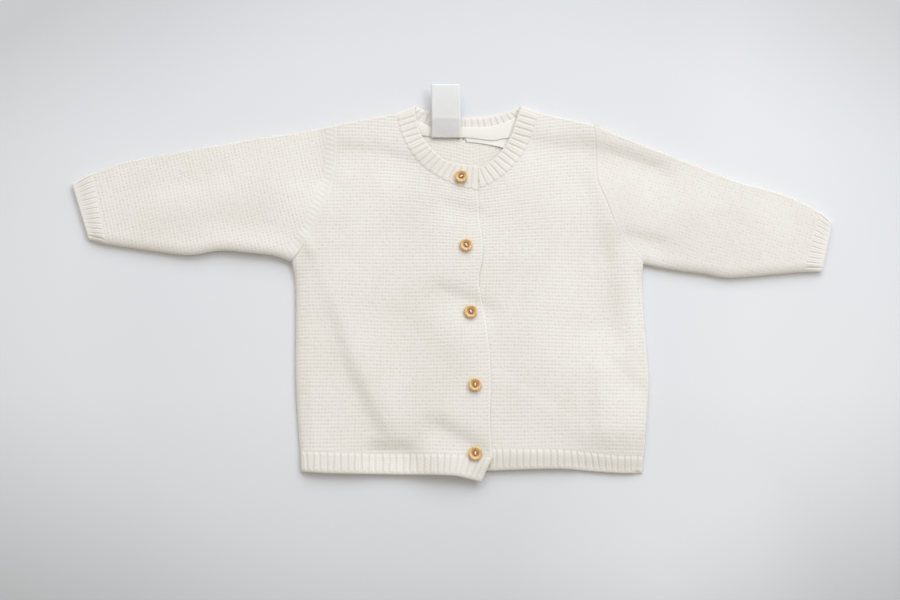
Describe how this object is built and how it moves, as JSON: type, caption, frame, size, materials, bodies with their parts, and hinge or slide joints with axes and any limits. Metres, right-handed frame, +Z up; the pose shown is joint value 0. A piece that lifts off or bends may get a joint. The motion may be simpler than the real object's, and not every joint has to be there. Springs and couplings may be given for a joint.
{
  "type": "baby cardigan",
  "caption": "Baby cardigan in ivory garter knit laid flat, front up, with ribbed hem, cuffs and neckband, set-in sleeves and small wooden buttons.",
  "frame": {"origin": "on the surface the cardigan lies on, under the middle of the back panel", "axes": "+X to the wearer's left (the picture's right), +Y from the hem to the neck, +Z up out of the front"},
  "size_m": [0.6149, 0.3226, 0.0126],
  "materials": {
    "ivory_knit": "cotton garter and rib knit",
    "neck_tape": "smooth cotton tape",
    "label_satin": "white satin, bare",
    "button_wood": "light wood, satin varnish"
  },
  "bodies": {
    "root": {"back": "ivory_knit", "back_hem_rib": "ivory_knit", "front_right": "ivory_knit", "front_right_hem_rib": "ivory_knit", "front_left": "ivory_knit", "front_left_hem_rib": "ivory_knit", "sleeve_right": "ivory_knit", "sleeve_left": "ivory_knit", "cuff_right": "ivory_knit", "cuff_left": "ivory_knit", "neckband": "ivory_knit", "neck_tape": "neck_tape", "neck_label": "label_satin", "size_label": "label_satin", "button_1": "button_wood", "button_2": "button_wood", "button_3": "button_wood", "button_4": "button_wood", "button_5": "button_wood"}
  },
  "joints": []
}
